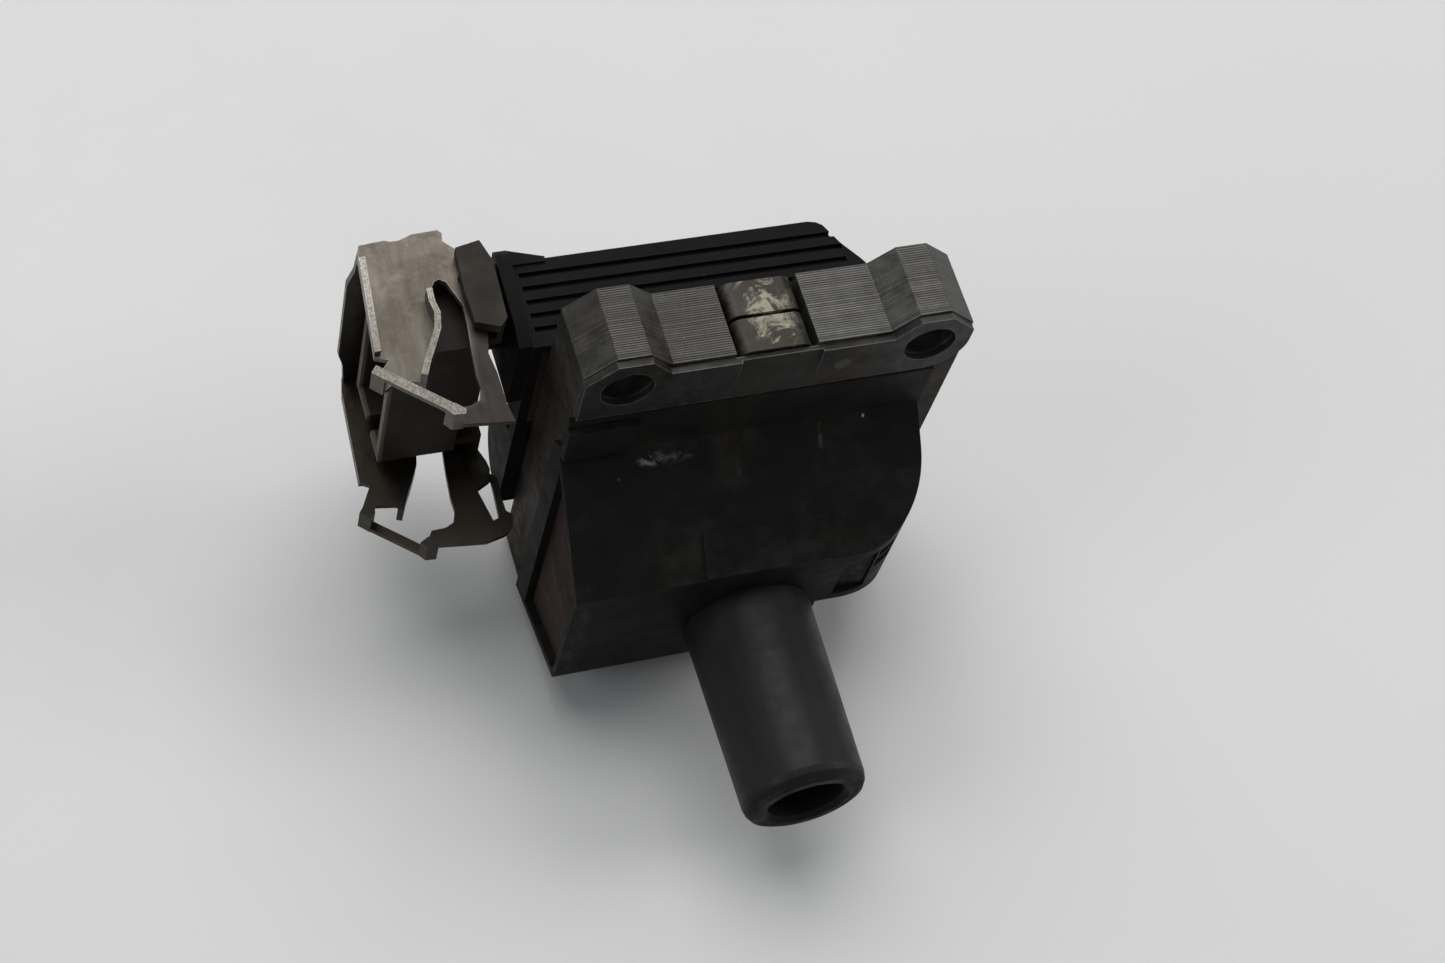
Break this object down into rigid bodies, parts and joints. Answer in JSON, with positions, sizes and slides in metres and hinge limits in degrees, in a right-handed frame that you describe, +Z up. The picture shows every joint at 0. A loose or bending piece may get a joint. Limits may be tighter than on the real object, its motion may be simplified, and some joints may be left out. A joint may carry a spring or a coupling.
{
  "type": "ignition coil",
  "caption": "Potted ignition coil with a shell core, slanted cup, tubular high-voltage tower, plug socket and hinged wire-spring locking clip.",
  "frame": {"origin": "midway between the two mounting holes, on the front face of the core plate", "axes": "+X from the plug socket towards the plain end, -Y along the tower, +Z up from the legs to the mounting ears"},
  "size_m": [0.0792, 0.0749, 0.064],
  "materials": {
    "moulding_black": "moulded, dusty satin",
    "resin_brown": "cast, dull",
    "tower_dark": "satin, smooth",
    "terminal_brass": "turned",
    "spring_steel": "drawn wire",
    "lead_copper": "drawn wire",
    "plate_steel": "pressed, darkened by oil",
    "lamination_steel": "stacked sheet edges, dull grey with brown stains",
    "bridge_steel": "bent strip with pale corrosion",
    "rivet_steel": "upset end, browned",
    "bobbin_nylon": "moulded",
    "enamelled_copper": "wound enamelled wire",
    "socket_black": "moulded, satin",
    "tinned_brass": "tinned",
    "clip_steel": "spring strip, brownish tarnish"
  },
  "bodies": {
    "coil_body": {"case_front": "moulding_black", "case_rear": "moulding_black", "potting_resin": "resin_brown", "hv_tower": "tower_dark", "hv_terminal": "terminal_brass", "contact_spring": "spring_steel", "hv_lead": "lead_copper", "core_plate": "plate_steel", "core_left": "lamination_steel", "core_right": "lamination_steel", "core_bridge_front": "bridge_steel", "core_bridge_rear": "bridge_steel", "core_rivets": "rivet_steel", "primary_bobbin": "bobbin_nylon", "primary_winding": "enamelled_copper", "secondary_bobbin": "bobbin_nylon", "secondary_winding": "enamelled_copper", "connector_shroud": "socket_black", "pin_lead_a": "tinned_brass", "pin_lead_b": "tinned_brass", "pin_lead_c": "tinned_brass"},
    "clip": {"locking_clip": "clip_steel"}
  },
  "joints": [
    {"name": "clip_hinge", "type": "hinge", "parent": "coil_body", "child": "clip", "pos_m": [-0.0362, 0.0225, -0.0205], "axis": [0, 0, -1], "range_deg": [0, 55]}
  ]
}
